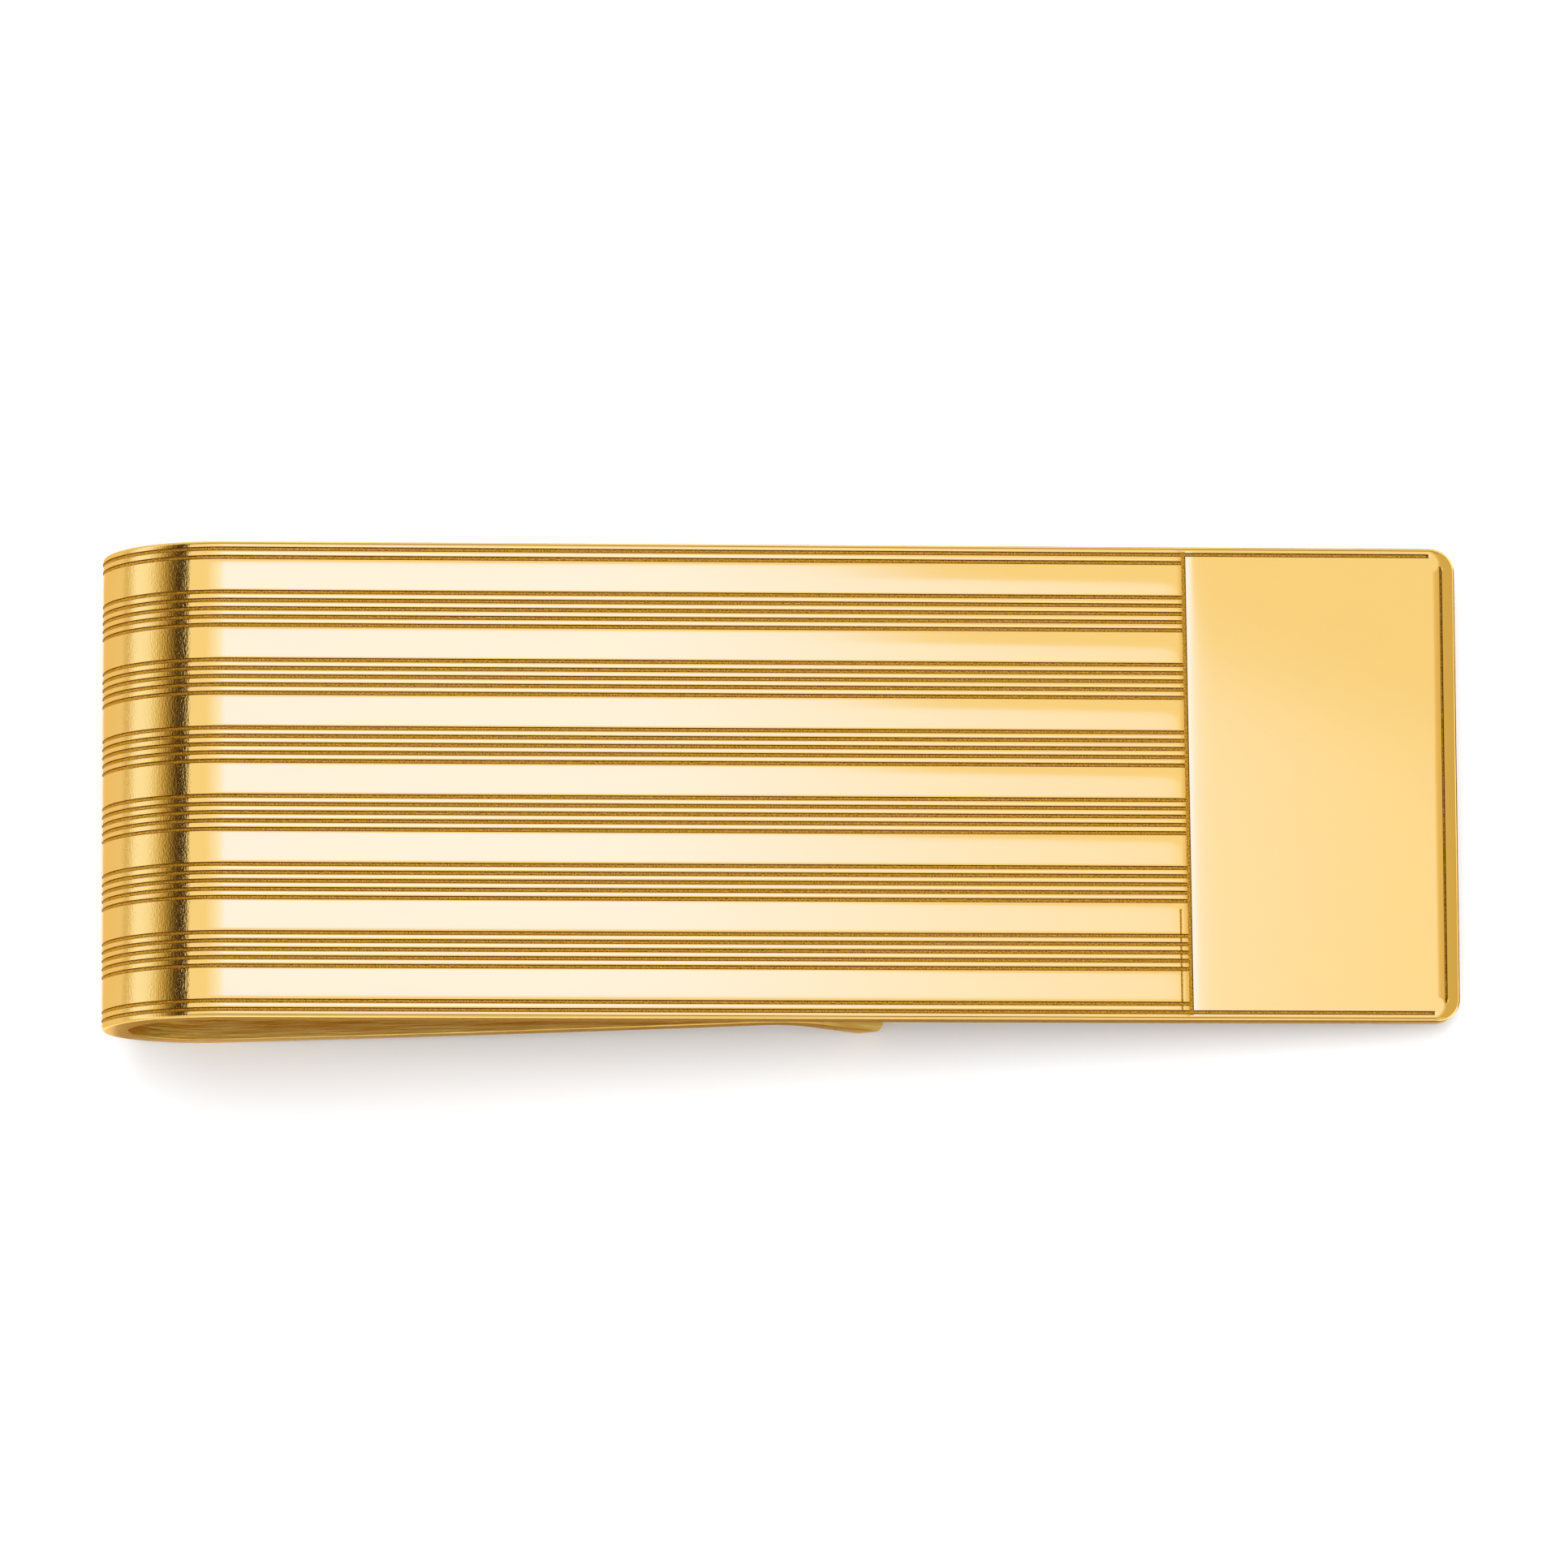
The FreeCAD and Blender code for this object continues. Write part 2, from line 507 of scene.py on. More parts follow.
def slip_share(y):
    """Where the slip beside the divider reaches: only near the -Y edge."""
    edge = -EDGE_LINES[1]
    return (1 - smooth(SLIP_END - SLIP_FADE, SLIP_END, y)) * smooth(edge - SLIP_START_FADE, edge, y)


# ---------------------------------------------------------------- meshes

def add_piece(name, mesh):
    """Object for a mesh, with every gold in its slots."""
    for material in GOLDS:
        mesh.materials.append(material)
    made = bpy.data.objects.new(name, mesh)
    bpy.context.scene.collection.objects.link(made)
    return made


def ring_section(row, relief, fixed):
    """Places and heights round one ring, and the normals at both ends of its segments."""
    normal, ahead = outward(row["heading"]), forward(row["heading"])
    starts, first, second = [], [], []
    for (y, height, slope), (_, _, next_slope), _ in relief:
        starts.append((y, height * row["depth"]))
        for out, rise in ((first, slope), (second, next_slope)):
            tilt = Vector((0, -rise * row["depth"], 0)) - ahead * row["roll_slope"]
            out.append((normal + tilt).normalized())
    for start, end, _ in fixed:
        starts.append(start[:2])
        for out, (_, _, across, up) in ((first, start), (second, end)):
            out.append((Vector((0, across, 0)) + normal * up).normalized())
    return starts, first, second


def ring_points(row, starts):
    """Points of one ring in the plate's frame, with the divider's roll, slant and slip."""
    normal = outward(row["heading"])
    points = []
    for y, h in starts:
        on_top = max(0.0, 1 + 2 * h / THICKNESS)
        lift = h + (row["roll"] - row["slip"] * SLIP_DEPTH * slip_share(y)) * on_top
        place = row["point"] + Vector((slant(y) * row["slant"], y, 0))
        points.append(place + normal * lift)
    return points


def strip_mesh(name, points, faces, materials, strip, peel):
    """Mesh in the row frame, with its places on the strip and its orange peel."""
    mesh = bpy.data.meshes.new(name)
    mesh.from_pydata([TO_ROW @ p for p in points], [], faces)
    mesh.polygons.foreach_set("material_index", materials)
    layer = mesh.attributes.new("strip", "FLOAT_VECTOR", "POINT")
    layer.data.foreach_set("vector", [c for place in strip for c in place])
    layer = mesh.attributes.new("peel", "FLOAT", "POINT")
    layer.data.foreach_set("value", peel)
    return mesh


def sweep(name, rows, engraved):
    """Closed length of strip through the given stations, with exact normals."""
    relief = relief_segments(engraved)
    fixed = edge_segments(1) + inner_segments() + edge_segments(-1)
    kinds = [material for _, _, material in relief + fixed]
    size = len(kinds)
    points, strip, peel, first, second = [], [], [], [], []
    for row in rows:
        starts, ring_first, ring_second = ring_section(row, relief, fixed)
        points += ring_points(row, starts)
        strip += [(row["run"], y, h) for y, h in starts]
        peel += [row["peel"]] * size
        first.append(ring_first)
        second.append(ring_second)

    faces, materials, normals = [], [], []
    for i in range(len(rows) - 1):
        slipped = rows[i]["slip"] + rows[i + 1]["slip"] > 0
        base, top = i * size, (i + 1) * size
        for k, kind in enumerate(kinds):
            after = (k + 1) % size
            faces.append((base + k, base + after, top + after, top + k))
            cut = slipped and kind == POLISHED and slip_share(strip[base + k][1]) > 0.5
            materials.append(CUT if cut else kind)
            normals += [first[i][k], second[i][k], second[i + 1][k], first[i + 1][k]]
    for row, base, side in ((rows[0], 0, -1), (rows[-1], len(points) - size, 1)):
        faces.append(list(range(base, base + size))[::side])
        materials.append(BRUSHED)
        normals += [forward(row["heading"]) * side] * size

    made = add_piece(name, strip_mesh(name, points, faces, materials, strip, peel))
    made.data.normals_split_custom_set([TURN_TO_ROW @ n for n in normals])
    return made


def slab_rim(xs, ys, core_x, core_y):
    """Stops round a slab's free sides: place, direction outwards and share of end."""
    rim = [(x, core_y, 0, 1, 0) for x in xs]
    for i in range(1, CORNER_STEPS):
        a = math.pi / 2 * i / CORNER_STEPS
        rim.append((core_x, core_y, math.sin(a), math.cos(a), i / CORNER_STEPS))
    rim += [(core_x, y, 1, 0, 1) for y in ys]
    for i in range(1, CORNER_STEPS):
        a = math.pi / 2 * i / CORNER_STEPS
        rim.append((core_x, -core_y, math.cos(a), -math.sin(a), 1 - i / CORNER_STEPS))
    rim += [(x, -core_y, 0, -1, 0) for x in reversed(xs)]
    return rim


def round_drop(inset, reach, drop):
    """Fall of a rounded edge at an inset from the rim."""
    over = max(0.0, (reach - inset) / reach)
    return drop * (1 - math.sqrt(max(0.0, 1 - over * over)))


def top_ring(rim, inset, corner_r, end_reach, relief):
    """Ring on the top at an inset; its edge is rounded further at the end than at the sides."""
    ring = []
    for x, y, dx, dy, end_share in rim:
        px, py = x + dx * (corner_r - inset), y + dy * (corner_r - inset)
        reach = SHOW_ROUND + (end_reach - SHOW_ROUND) * end_share
        drop = SHOW_ROUND + (END_DROP - SHOW_ROUND) * end_share
        ring.append((px, py, relief(px, py) - round_drop(inset, reach, drop)))
    return ring


def under_ring(rim, inset, corner_r):
    """Ring on the underside at an inset."""
    height = round_drop(inset, UNDER_ROUND, UNDER_ROUND) - THICKNESS
    out = corner_r - inset
    return [(x + dx * out, y + dy * out, height) for x, y, dx, dy, _ in rim]


def add_quad(made, place, corners, material):
    """Face of a slab, from corners as x, y and height; the strip runs backwards over x."""
    layer = made.verts.layers.float_vector["strip"]
    verts = []
    for x, y, h in corners:
        vert = made.verts.new(TO_ROW @ place(x, y, h))
        vert[layer] = (-x, y, h)
        verts.append(vert)
    made.faces.new(verts).material_index = material


def slab(name, place, length, corner_r, end_reach, relief, xs, ys, insets, top_kind, under_kind):
    """Rounded end of the strip: place maps its own x, y, height to the plate's frame.

    Rings of quads run round the rim, from the core of the top to that of the underside, and
    a grid fills each core.
    """
    core_x, core_y = length - corner_r, WIDTH / 2 - corner_r
    xs = [x for x in xs if x < core_x - TINY] + [core_x]
    ys = [y for y in ys if abs(y) < core_y - TINY]
    ys = [core_y] + sorted(ys, reverse=True) + [-core_y]
    insets = [inset for inset in insets if inset < corner_r - TINY]
    insets = [corner_r] + sorted(insets, reverse=True)
    rim = slab_rim(xs, ys, core_x, core_y)
    rings = [top_ring(rim, inset, corner_r, end_reach, relief) for inset in insets]
    rings += [under_ring(rim, inset, corner_r) for inset in UNDER_INSETS + (corner_r,)]
    wall = len(insets) - 1

    made = bmesh.new()
    made.verts.layers.float_vector.new("strip")
    for r, (ring, below) in enumerate(zip(rings, rings[1:])):
        for k in range(len(rim) - 1):
            kind = MILLED if r == wall else under_kind
            if r < wall:
                kind = top_kind(ring[k], below[k + 1])
            add_quad(made, place, (ring[k], below[k], below[k + 1], ring[k + 1]), kind)
    for x0, x1 in zip(xs, xs[1:]):
        for y1, y0 in zip(ys, ys[1:]):
            top = [(x, y, relief(x, y)) for x, y in ((x0, y0), (x1, y0), (x1, y1), (x0, y1))]
            add_quad(made, place, top, top_kind(top[0], top[2]))
            low = [(x, y, -THICKNESS) for x, y in ((x0, y1), (x1, y1), (x1, y0), (x0, y0))]
            add_quad(made, place, low, BRUSHED)
    bmesh.ops.remove_doubles(made, verts=made.verts, dist=WELD_METRES)
    bmesh.ops.holes_fill(made, edges=[e for e in made.edges if e.is_boundary], sides=0)
    bmesh.ops.recalc_face_normals(made, faces=made.faces)
    mesh = bpy.data.meshes.new(name)
    made.to_mesh(mesh)
    made.free()
    mesh.shade_smooth()
    mesh.set_sharp_from_angle(angle=math.radians(CREASE_ANGLE))
    return add_piece(name, mesh)


# ---------------------------------------------------------------- nodes

def add_node(tree, kind, inputs, **settings):
    """New node with its settings; each input takes a value, or a link from a socket."""
    node = tree.nodes.new(kind)
    for key, value in settings.items():
        setattr(node, key, value)
    for key, value in inputs.items():
        if isinstance(value, bpy.types.NodeSocket):
            tree.links.new(value, node.inputs[key])
        else:
            node.inputs[key].default_value = value
    return node


def calculate(tree, operation, *values):
    """Result of a math node."""
    node = add_node(tree, "ShaderNodeMath", dict(enumerate(values)), operation=operation)
    return node.outputs["Value"]


def remap(tree, value, low, high, to_low=0, to_high=1, kind="LINEAR"):
    """Value mapped from one range to another."""
    limits = {"From Min": low, "From Max": high, "To Min": to_low, "To Max": to_high}
    node = add_node(tree, "ShaderNodeMapRange", {"Value": value, **limits}, interpolation_type=kind)
    return node.outputs["Result"]


def mix_colours(tree, share, first, second):
    """Mix of two colours; each is a value or a socket."""
    inputs = {"Factor": share, "A": first, "B": second}
    return add_node(tree, "ShaderNodeMix", inputs, data_type="RGBA").outputs["Result"]


def graded(tree, value, stops):
    """Colour from stops, each a value and a colour."""
    low, high = stops[0][0], stops[-1][0]
    ramp = add_node(tree, "ShaderNodeValToRGB", {"Fac": remap(tree, value, low, high)})
    elements = ramp.color_ramp.elements
    while len(elements) < len(stops):
        elements.new(0.5)
    for element, (at, colour) in zip(elements, stops):
        element.position = (at - low) / (high - low)
        element.color = (*colour, 1)
    return ramp.outputs["Color"]


# ---------------------------------------------------------------- materials

def attribute(tree, name):
    """Node that reads a mesh attribute."""
    return add_node(tree, "ShaderNodeAttribute", {}, attribute_name=name)


def strip_noise(tree, stretch, scale, detail):
    """Noise laid out along the strip; stretch scales run, across and depth."""
    place = attribute(tree, "strip").outputs["Vector"]
    squeezed = add_node(tree, "ShaderNodeVectorMath", {0: place, 1: stretch}, operation="MULTIPLY")
    inputs = {"Vector": squeezed.outputs["Vector"], "Scale": scale, "Detail": detail}
    return add_node(tree, "ShaderNodeTexNoise", inputs).outputs["Fac"]


def noise_colour(tree, noise, low, high, first, second):
    """Two colours spread over a range of the noise."""
    share = remap(tree, noise, low, high)
    return mix_colours(tree, share, (*first, 1), (*second, 1))


def bump(tree, height, strength, distance, after=None):
    """Normal bent by a height, in metres of distance, over the normal of another bump."""
    inputs = {"Height": height, "Strength": strength, "Distance": distance}
    if after is not None:
        inputs["Normal"] = after
    return add_node(tree, "ShaderNodeBump", inputs).outputs["Normal"]


def metal(name, base, roughness):
    """Metal material, and its node tree and shader."""
    material = bpy.data.materials.new(name)
    material.use_nodes = True
    shader = material.node_tree.nodes["Principled BSDF"]
    shader.inputs["Base Color"].default_value = (*base, 1)
    shader.inputs["Metallic"].default_value = 1.0
    shader.inputs["Specular Tint"].default_value = (1.0, 0.8, 0.5, 1)
    shader.inputs["Roughness"].default_value = roughness
    return material, material.node_tree, shader


def paint(tree, shader, colour, normal, roughness=None):
    """Link a colour, a normal and maybe a roughness to the shader."""
    tree.links.new(colour, shader.inputs["Base Color"])
    tree.links.new(normal, shader.inputs["Normal"])
    if roughness is not None:
        tree.links.new(roughness, shader.inputs["Roughness"])


def polished_gold():
    """Mirror polish, with an orange-peel skin where the strip was bent."""
    material, tree, shader = metal("polished_gold", (0.913, 0.61, 0.188), 0.07)
    tint = strip_noise(tree, stretch=(0.25, 0.6, 1), scale=1.0, detail=2)
    colour = mix_colours(tree, tint, (0.93, 0.615, 0.185, 1), (0.90, 0.60, 0.195, 1))
    peel = attribute(tree, "peel").outputs["Fac"]
    roughness = remap(tree, peel, 0, 1, to_low=0.06, to_high=0.1)
    grain = strip_noise(tree, stretch=(1, 0.5, 0), scale=14.0, detail=3)
    hairlines = strip_noise(tree, stretch=(0.4, 14, 0), scale=3.0, detail=2)
    peeled = bump(tree, grain, strength=peel, distance=0.0000075)
    normal = bump(tree, hairlines, strength=0.05, distance=0.000002, after=peeled)
    paint(tree, shader, colour, normal, roughness)
    return material


def stippled_gold(name, dark, light):
    """Matt, stippled metal of a cut, with its colours darkened as painted shade of the recess."""
    material, tree, shader = metal(name, dark, 0.42)
    stipple = strip_noise(tree, stretch=(1, 1, 1), scale=18.0, detail=3)
    colour = noise_colour(tree, stipple, 0.38, 0.62, dark, light)
    normal = bump(tree, stipple, strength=0.6, distance=0.00002)
    paint(tree, shader, colour, normal)
    return material


def cut_gold():
    """Floor and -Y wall of a cut line: stippled matt metal, with a dark brown colour that is
    painted shade of the recess.
    """
    return stippled_gold("cut_gold", (0.36, 0.17, 0.014), (0.86, 0.46, 0.05))


def shaded_wall_gold():
    """Wall of a cut painted in shade: the +Y wall of each line on the strip and every wall on the
    panel, darker than the rest of the cut.
    """
    return stippled_gold("shaded_wall_cut_gold", (0.15, 0.07, 0.006), (0.42, 0.21, 0.02))


def brushed_gold():
    """Inner face and back: brushed along the strip."""
    material, tree, shader = metal("brushed_gold", (0.72, 0.45, 0.12), 0.3)
    streaks = strip_noise(tree, stretch=(0.3, 7, 7), scale=1.2, detail=6)
    fine = strip_noise(tree, stretch=(0.8, 24, 24), scale=1.0, detail=3)
    colour = noise_colour(tree, streaks, 0.36, 0.64, (0.84, 0.52, 0.1), (1.0, 0.78, 0.26))
    roughness = remap(tree, fine, 0.3, 0.7, to_low=0.3, to_high=0.46)
    streaked = bump(tree, streaks, strength=0.5, distance=0.00004)
    normal = bump(tree, fine, strength=0.5, distance=0.00001, after=streaked)
    paint(tree, shader, colour, normal, roughness)
    return material


def milled_gold():
    """Edge of the strip, a little rough, with fine pits."""
    material, tree, shader = metal("milled_gold", (0.75, 0.48, 0.14), 0.35)
    pits = strip_noise(tree, stretch=(0.5, 1, 1), scale=11.0, detail=4)
    colour = noise_colour(tree, pits, 0.3, 0.7, (0.68, 0.39, 0.07), (0.96, 0.65, 0.17))
    normal = bump(tree, pits, strength=0.3, distance=0.000012)
    paint(tree, shader, colour, normal)
    return material


GOLDS = (polished_gold(), cut_gold(), shaded_wall_gold(), brushed_gold(), milled_gold())


# ---------------------------------------------------------------- the object's pieces

def striped_plate():
    """Striped show plate, rolled down a little towards the divider."""
    run = PATH["plate"][3]
    distances = [0, 0.02, 0.045, 0.08, 0.13, 0.18, 0.37, 0.5, 0.7]
    for share in (-SLIP_EDGE, -SLIP_FLOOR, SLIP_FLOOR, SLIP_EDGE):
        distances.append(SLIP_PLACE + SLIP_WIDTH * share)
    distances += spread(FINE_REACH, run, PLATE_STEPS)
    rows = []
    for distance in sorted(distances):
        row = station("plate", distance / run)
        row["roll"] = -DIVIDER_ROLL_DEPTH * math.exp(-distance / DIVIDER_ROLL_REACH)
        row["roll_slope"] = -row["roll"] / DIVIDER_ROLL_REACH
        row["slant"] = 1 - smooth(0, SLANT_REACH, distance)
        off_slip = abs(distance - SLIP_PLACE) / SLIP_WIDTH
        row["slip"] = 1 - smooth(SLIP_FLOOR, SLIP_EDGE, off_slip)
        rows.append(row)
    made = sweep("striped_plate_gold", rows, True)
    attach(made, "show_plate")
    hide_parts("striped_plate")


def groove(distance, width):
    """Depth share of a cut line at a distance from its middle."""
    return min(1.0, max(0.0, (width / 2 - abs(distance)) / LINE_WALL))


def panel_cut(x, y):
    """Depth share of the divider and the border lines."""
    divider = 0.0
    if abs(y) <= EDGE_LINES[1] + LINE_WIDTH / 2:
        inside = min(x + DIVIDER_WALL, DIVIDER_WIDTH - x)
        divider = min(1.0, max(0.0, inside / DIVIDER_WALL))
    from_end, from_side = PANEL_LENGTH - x, WIDTH / 2 - abs(y)
    side_line = groove(EDGE_LINES[1] - abs(y), LINE_WIDTH)
    side_line *= smooth(*SIDE_LINE_FADE, from_end)
    end_line = groove(from_end - END_LINE_INSET, END_LINE_WIDTH)
    end_line *= smooth(*END_LINE_FADE, from_side)
    return max(divider, side_line, end_line)


def panel_relief(x, y):
    """Cuts, and the polished roll beside the divider."""
    cut = panel_cut(x, y)
    past = max(0.0, x - DIVIDER_WIDTH)
    roll = DIVIDER_ROLL_DEPTH * math.exp(-past / DIVIDER_ROLL_REACH)
    return -cut * LINE_DEPTH - (1 - cut) * roll


def panel_kind(a, b):
    """Material of a face of the panel's top, from two opposite corners."""
    if (a[2] + b[2]) / 2 < -PLAIN_DEPTH:
        return POLISHED
    depth = panel_cut((a[0] + b[0]) / 2, (a[1] + b[1]) / 2)
    if depth > FLOOR_SHARE:
        return CUT
    # Walls of the panel's cuts take the darker gold of painted shade
    return SHADED_WALL if depth > WALL_SHARE else POLISHED


def panel_insets():
    """Insets of the panel's rings, with rings on every corner of the border lines."""
    insets = list(TOP_INSETS)
    lines = ((WIDTH / 2 - EDGE_LINES[1], LINE_WIDTH), (END_LINE_INSET, END_LINE_WIDTH))
    for middle, width in lines:
        for reach in (width / 2, width / 2 - LINE_WALL):
            insets += [middle - reach, middle + reach]
    return insets + [0.42, 0.64, 0.7, 0.76, 0.82, 0.86]


def panel():
    """Plain engraving panel inside its border line."""
    origin = Vector((CLIP_LENGTH - PANEL_LENGTH, 0, 0))

    def place(x, y, h):
        shift = slant(y) * (1 - smooth(0, SLANT_REACH, x))
        return origin + Vector((x + shift, y, h))

    past = (0, 0.02, 0.045, 0.08, 0.13, 0.2, 0.3, 0.45, 0.7, FINE_REACH)
    xs = [0, 0.06, DIVIDER_WIDTH - DIVIDER_WALL] + [DIVIDER_WIDTH + d for d in past]
    xs += spread(1.75, 9.1, 21)
    xs += spread(PANEL_LENGTH - SIDE_LINE_FADE[1], PANEL_LENGTH - SIDE_LINE_FADE[0], 4)
    made = slab(
        "engraving_panel_gold",
        place,
        length=PANEL_LENGTH,
        corner_r=PANEL_CORNER_R,
        end_reach=PANEL_CORNER_R,
        relief=panel_relief,
        xs=sorted(xs),
        ys=spread(-WIDTH / 2, WIDTH / 2, 36),
        insets=panel_insets(),
        top_kind=panel_kind,
        under_kind=POLISHED,
    )
    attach(made, "show_plate")
    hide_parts("engraving_panel")


def loop():
    """Outer bend of the loop, over its crown."""
    rows = stations("upper", 0, 1, UPPER_STEPS)
    rows += stations("lower", 0, LOOP_BORDER, LOWER_STEPS[0])[1:]
    made = sweep("loop_gold", rows, True)
    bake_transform(made)
    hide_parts("loop_upper", "loop_lower")


def leaf_base():
    """Underside of the loop and start of the leaf."""
    rows = stations("lower", LOOP_BORDER, 1, LOWER_STEPS[1])
    rows += stations("root", 0, LEAF_BORDER, ROOT_STEPS)[1:]
    made = sweep("leaf_base_gold", rows, True)
    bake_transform(made)
    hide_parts("leaf_root")


def leaf():
    """Blade of the leaf up to the crest."""
    rows = stations("root", LEAF_BORDER, 1, ROOT_STEPS)
    rows += stations("shank", 0, 1, SHANK_STEPS)[1:]
    made = sweep("leaf_gold", rows, False)
    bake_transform(made)
    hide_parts("leaf_shank")


def crest():
    """Rounded crest that presses on the notes."""
    made = sweep("grip_crest_gold", stations("crest", 0, 1, CREST_STEPS), False)
    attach(made, "leaf")
    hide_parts("grip_crest")


def lip():
    """Lead-in lip with rounded corners."""
    point, heading, _, length = PATH["lip"]
    normal, ahead = outward(heading), forward(heading)

    def place(x, y, h):
        return point + ahead * x + Vector((0, y, 0)) + normal * h

    made = slab(
        "lead_in_lip_gold",
        place,
        length=length,
        corner_r=LIP_CORNER_R,
        end_reach=END_DROP,
        relief=lambda x, y: 0.0,
        xs=spread(0, length, 12),
        ys=spread(-WIDTH / 2, WIDTH / 2, 24),
        insets=TOP_INSETS + (0.28,),
        top_kind=lambda a, b: BRUSHED,
        under_kind=BRUSHED,
    )
    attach(made, "leaf")
    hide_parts("lead_in_lip")


# ---------------------------------------------------------------- studio

def stage_card(name, width, length, matrix, glow):
    """Card that only reflections see."""
    mesh = bpy.data.meshes.new(name)
    x, y = width / 2 * MM, length / 2 * MM
    mesh.from_pydata([(-x, -y, 0), (x, -y, 0), (x, y, 0), (-x, y, 0)], [], [(0, 1, 2, 3)])
    mesh.materials.append(glow)
    made = bpy.data.objects.new(name, mesh)
    bpy.context.scene.collection.objects.link(made)
    made.matrix_world = matrix
    made.visible_camera = False
    made.visible_diffuse = False
    made.visible_shadow = False


def emission(name):
    """Emission material, its node tree and the input for its colour."""
    material = bpy.data.materials.new(name)
    material.use_nodes = True
    tree = material.node_tree
    tree.nodes.clear()
    glow = add_node(tree, "ShaderNodeEmission", {})
    add_node(tree, "ShaderNodeOutputMaterial", {"Surface": glow.outputs["Emission"]})
    return material, tree, glow.inputs["Color"]


def card_axes(tree):
    """The card's own coordinates."""
    place = add_node(tree, "ShaderNodeTexCoord", {}).outputs["Object"]
    return add_node(tree, "ShaderNodeSeparateXYZ", {"Vector": place}).outputs


def graded_card(name, width, matrix, stops):
    """Card with glows at places along its own X, in millimetres."""
    material, tree, glow = emission(name)
    in_metres = [(at * MM, colour) for at, colour in stops]
    tree.links.new(graded(tree, card_axes(tree)["X"], in_metres), glow)
    stage_card(name, width, CARD_LENGTH, matrix, material)


def side_card(name, toward, stops):
    """Card beside the clip; stops are colours at degrees from the plate's normal."""
    near, far = math.radians(stops[0][0]), math.radians(stops[-1][0])
    middle = (near + far) / 2
    up = Vector((0, 0, 1))
    away = toward * math.sin(middle) + up * math.cos(middle)
    outwards = toward * math.cos(middle) - up * math.sin(middle)
    turn = Matrix((outwards, away.cross(outwards), -away)).transposed()
    place = TO_ROW @ (away * CARD_DISTANCE + Vector((CLIP_LENGTH / 4, 0, 0)))
    matrix = Matrix.Translation(place) @ (TURN_TO_ROW @ turn).to_4x4()
    places = []
    for degrees, colour in stops:
        places.append((CARD_DISTANCE * math.tan(math.radians(degrees) - middle), colour))
    graded_card(name, places[-1][0] - places[0][0], matrix, places)


def loop_table(low):
    """Card on the paper beyond the loop, a painted reflection of the paper in the loop, dimmed by
    painted shade out to 105 mm from the clip.
    """
    near, far = LOOP_TABLE[0][0], LOOP_TABLE[-1][0]
    middle = (near + far) / 2
    matrix = Matrix.Translation(Vector((low.x - middle, 0, TABLE_CARD_LIFT)) * MM)
    places = [(middle - at, colour) for at, colour in reversed(LOOP_TABLE)]
    graded_card("loop_table", far - near, matrix, places)


def table_cards():
    """Cards on the paper round the clip, which only reflections see: light and graded beyond the
    loop, else dark. The glows are painted reflections of the paper, with painted shade of the
    clip's shadow beside it.
    """
    low, high = Vector(CAD_LOW) / MM, Vector(CAD_HIGH) / MM
    loop_table(low)
    middle, size = (low + high) / 2, high - low
    away = TABLE_CARD_GAP + TABLE_CARD_DEPTH / 2
    cards = (
        ("front_table", middle.x, low.y - away, size.x, TABLE_CARD_DEPTH),
        ("back_table", middle.x, high.y + away, size.x, TABLE_CARD_DEPTH),
        ("end_table", high.x + away, 0, TABLE_CARD_DEPTH, size.y),
    )
    for name, x, y, width, length in cards:
        material, _, glow = emission(name)
        glow.default_value = (*FLOOR_SHADE_GLOW, 1)
        matrix = Matrix.Translation(Vector((x, y, TABLE_CARD_LIFT)) * MM)
        stage_card(name, width, length, matrix, material)


def overhead_card():
    """Card that the flat plate mirrors, cream over the loop and plainer over the panel.

    Its own coordinates are scaled so that the camera sees each of its places mirrored at
    the same place of the plate, in millimetres from the crown and from the middle.
    """
    reach = OVERHEAD_HEIGHT / CAMERA_PLACE[2]
    scale = (1 + reach) * MM
    centre = Vector((-CAMERA_PLACE[0] * reach, -CAMERA_PLACE[1] * reach, OVERHEAD_HEIGHT))
    matrix = Matrix.Translation(TO_ROW @ centre) @ TURN_TO_ROW.to_4x4()

    def step(value, limits):
        return remap(tree, value, limits[0] * scale, limits[1] * scale, kind="SMOOTHSTEP")

    material, tree, glow = emission("overhead_glow")
    axes = card_axes(tree)
    cream = graded(tree, axes["X"], [(at * scale, colour) for at, colour in OVERHEAD_GLOWS])
    slanted = calculate(tree, "MULTIPLY_ADD", axes["X"], PLAIN_CORNER_SLOPE, axes["Y"])
    above = step(slanted, PLAIN_CORNER_ACROSS)
    beyond = step(axes["X"], PLAIN_CORNER_ALONG)
    corner = calculate(tree, "MULTIPLY", above, beyond)
    margin = step(calculate(tree, "ABSOLUTE", axes["Y"]), PLAIN_MARGIN)
    plain = calculate(tree, "MAXIMUM", corner, margin)
    tree.links.new(mix_colours(tree, plain, cream, (*PLAIN, 1)), glow)
    width, length = (size * scale / MM for size in OVERHEAD_SIZE)
    stage_card("overhead_card", width, length, matrix, material)


def white_room():
    """Even white world, shown without a film look."""
    scene = bpy.context.scene
    scene.view_settings.view_transform = "Standard"
    scene.view_settings.look = "None"
    world = bpy.data.worlds.new("white_room")
    world.use_nodes = True
    background = world.node_tree.nodes["Background"]
    background.inputs["Color"].default_value = (1, 1, 1, 1)
    background.inputs["Strength"].default_value = WORLD_LEVEL
    scene.world = world


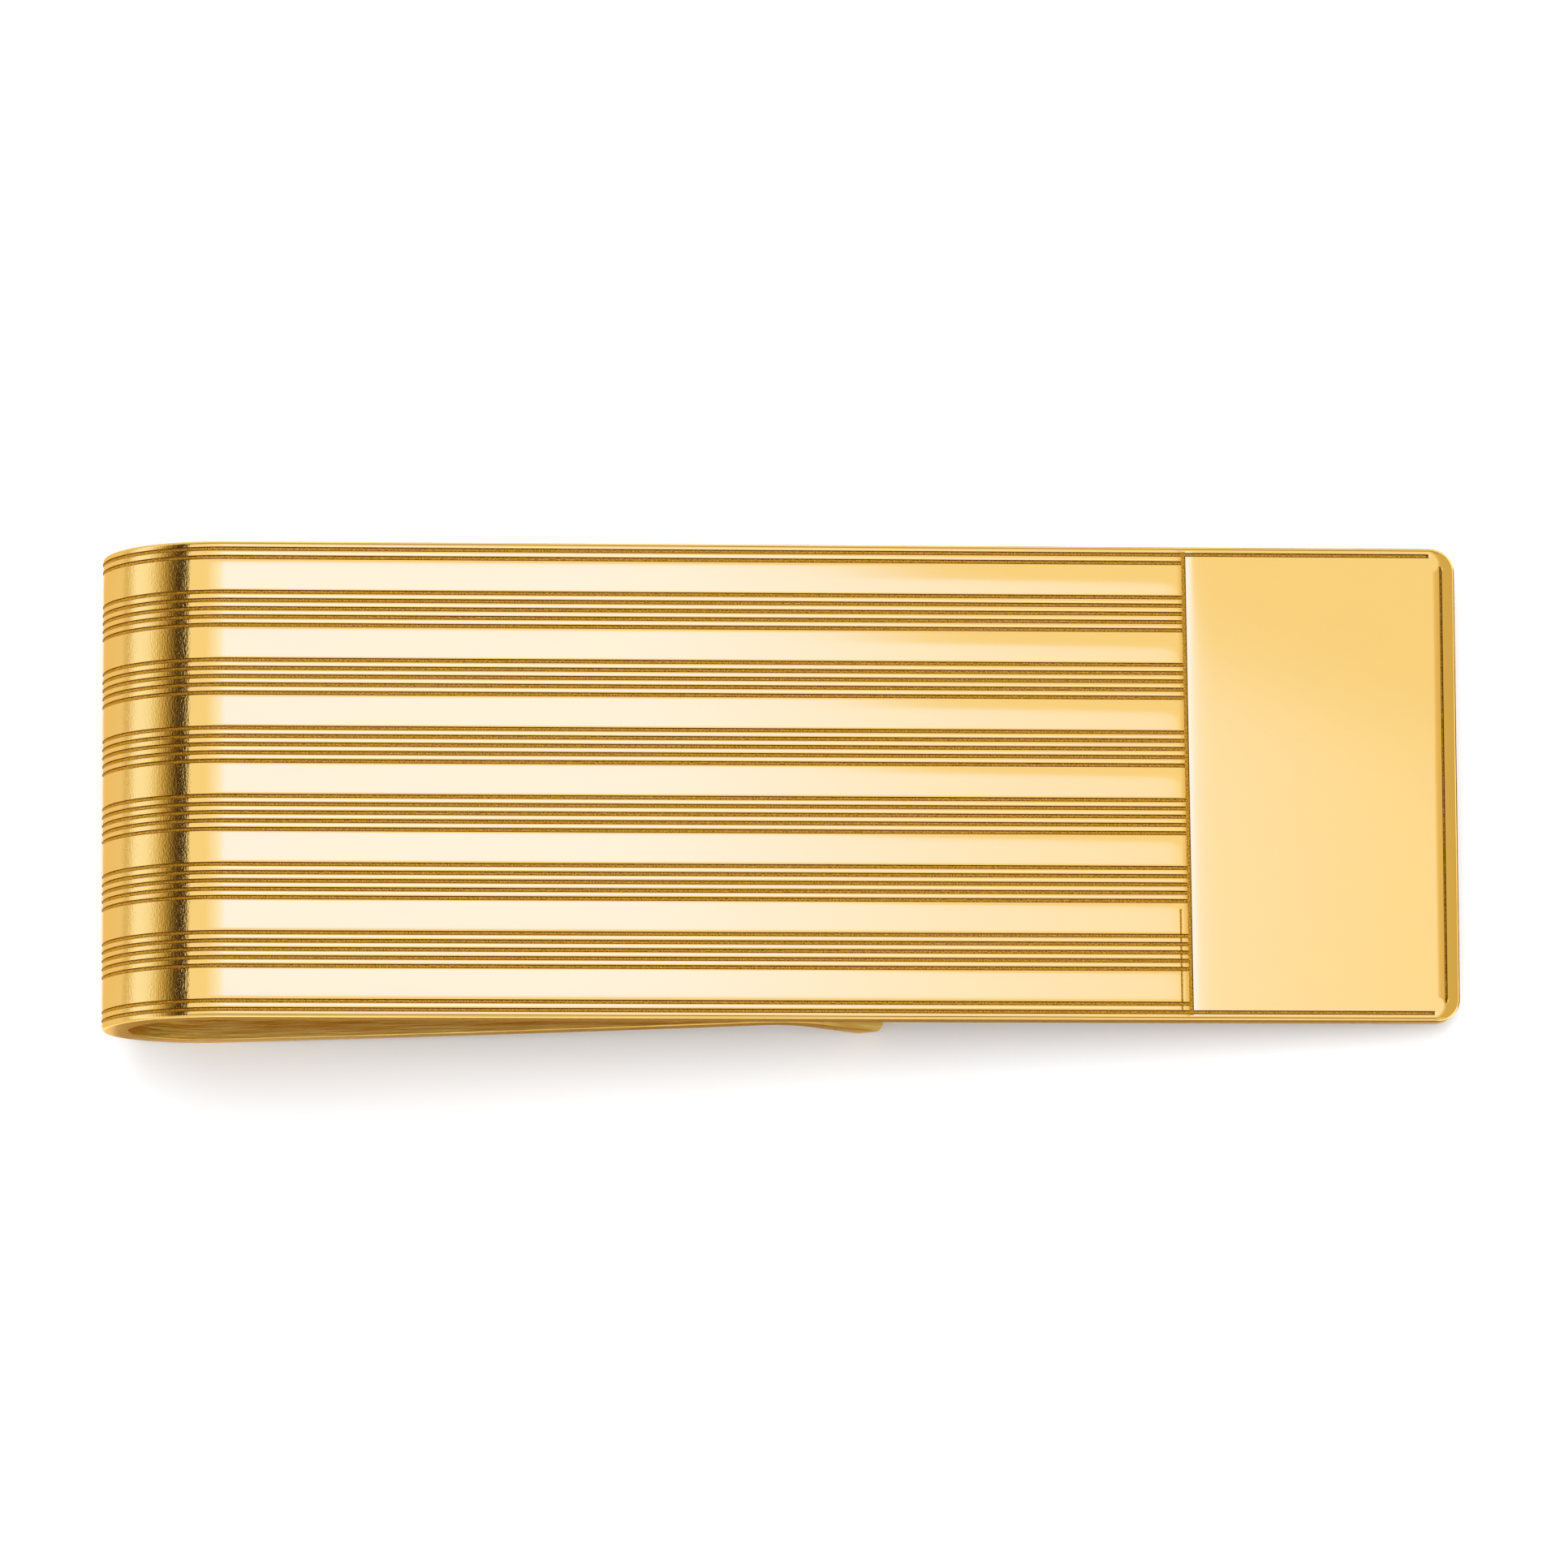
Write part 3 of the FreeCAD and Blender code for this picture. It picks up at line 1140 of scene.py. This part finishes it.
def paper():
    """White paper under the clip."""
    material = bpy.data.materials.new("white_paper")
    material.use_nodes = True
    shader = material.node_tree.nodes["Principled BSDF"]
    shader.inputs["Base Color"].default_value = PAPER_COLOUR
    shader.inputs["Roughness"].default_value = 0.9
    shader.inputs["Specular IOR Level"].default_value = 0.2
    mesh = bpy.data.meshes.new("floor")
    sides = ((-1, -1), (1, -1), (1, 1), (-1, 1))
    mesh.from_pydata([(x * PAPER_REACH, y * PAPER_REACH, 0) for x, y in sides], [], [(0, 1, 2, 3)])
    mesh.materials.append(material)
    floor = bpy.data.objects.new("floor", mesh)
    floor.location.z = -PAPER_DROP
    bpy.context.scene.collection.objects.link(floor)


def paper_light():
    """Soft lamp for the paper; the gold doesn't mirror it."""
    lamp = bpy.data.lights.new("paper_light", "AREA")
    lamp.size = LAMP_SIZE
    lamp.energy = LAMP_ENERGY
    light = bpy.data.objects.new("paper_light", lamp)
    light.location = LAMP_PLACE
    light.rotation_euler = (math.atan2(-LAMP_PLACE[1], LAMP_PLACE[2]), 0, 0)
    light.visible_glossy = False
    bpy.context.scene.collection.objects.link(light)


def studio():
    """White room and paper, with cards round the clip for the gold to mirror."""
    white_room()
    paper()
    paper_light()
    overhead_card()
    for name, toward, stops in SIDE_CARDS:
        side_card(name, Vector(toward), stops)
    table_cards()


def camera():
    """Camera where the photo was taken from."""
    data = bpy.data.cameras.new("camera")
    data.lens = CAMERA_LENS
    data.clip_start, data.clip_end = CAMERA_CLIP
    made = bpy.data.objects.new("camera", data)
    bpy.context.scene.collection.objects.link(made)
    about_x, about_y, about_z = (math.radians(a) for a in CAMERA_TURNS)
    turn = Matrix.Rotation(about_z, 3, "Z") @ Matrix.Rotation(about_y, 3, "Y")
    turn = TURN_TO_ROW @ turn @ Matrix.Rotation(about_x, 3, "X")
    made.matrix_world = Matrix.Translation(TO_ROW @ Vector(CAMERA_PLACE)) @ turn.to_4x4()
    bpy.context.scene.camera = made


striped_plate()
panel()
loop()
leaf_base()
leaf()
crest()
lip()
studio()
camera()
